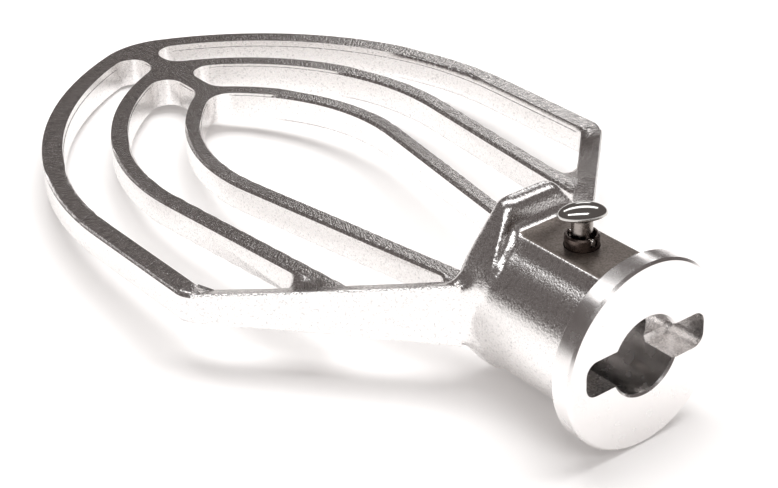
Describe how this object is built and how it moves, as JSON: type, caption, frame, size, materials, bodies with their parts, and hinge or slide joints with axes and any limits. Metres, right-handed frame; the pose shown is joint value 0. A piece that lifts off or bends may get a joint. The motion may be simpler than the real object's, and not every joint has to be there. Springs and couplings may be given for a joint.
{
  "type": "flat mixing beater",
  "caption": "Cast flat beater for a planetary mixer: nested blade loops on a flanged hub with a bored mouth, drive slots and a sprung locking plunger.",
  "frame": {"origin": "centre of the bottom of the bounding box, under the middle of the beater, at the height of the flange's lowest point", "axes": "+X along the hub axis and out of the hub mouth, +Y across the blades, +Z square to the blades, the way the plunger is pulled"},
  "size_m": [0.437, 0.271, 0.108],
  "materials": {
    "cast_aluminium": "burnished casting with a fine grain on the faces, machined on the hub face and the boss",
    "guide_steel": "turned, darkened in use",
    "polished_steel": "polished",
    "spring_steel": "drawn wire"
  },
  "bodies": {
    "beater": {"beater_casting": "cast_aluminium", "plunger_guide": "guide_steel", "plunger_spring": "spring_steel"},
    "plunger": {"plunger_pin": "polished_steel", "plunger_cross_pin": "polished_steel", "plunger_knob": "polished_steel"}
  },
  "joints": [
    {"name": "plunger_pull", "type": "slide", "parent": "beater", "child": "plunger", "axis": [0, 0, 1], "range_m": [0, 0.009], "stiffness_N_per_m": 900, "springref_m": -0.006, "deforming": ["plunger_spring"]}
  ]
}
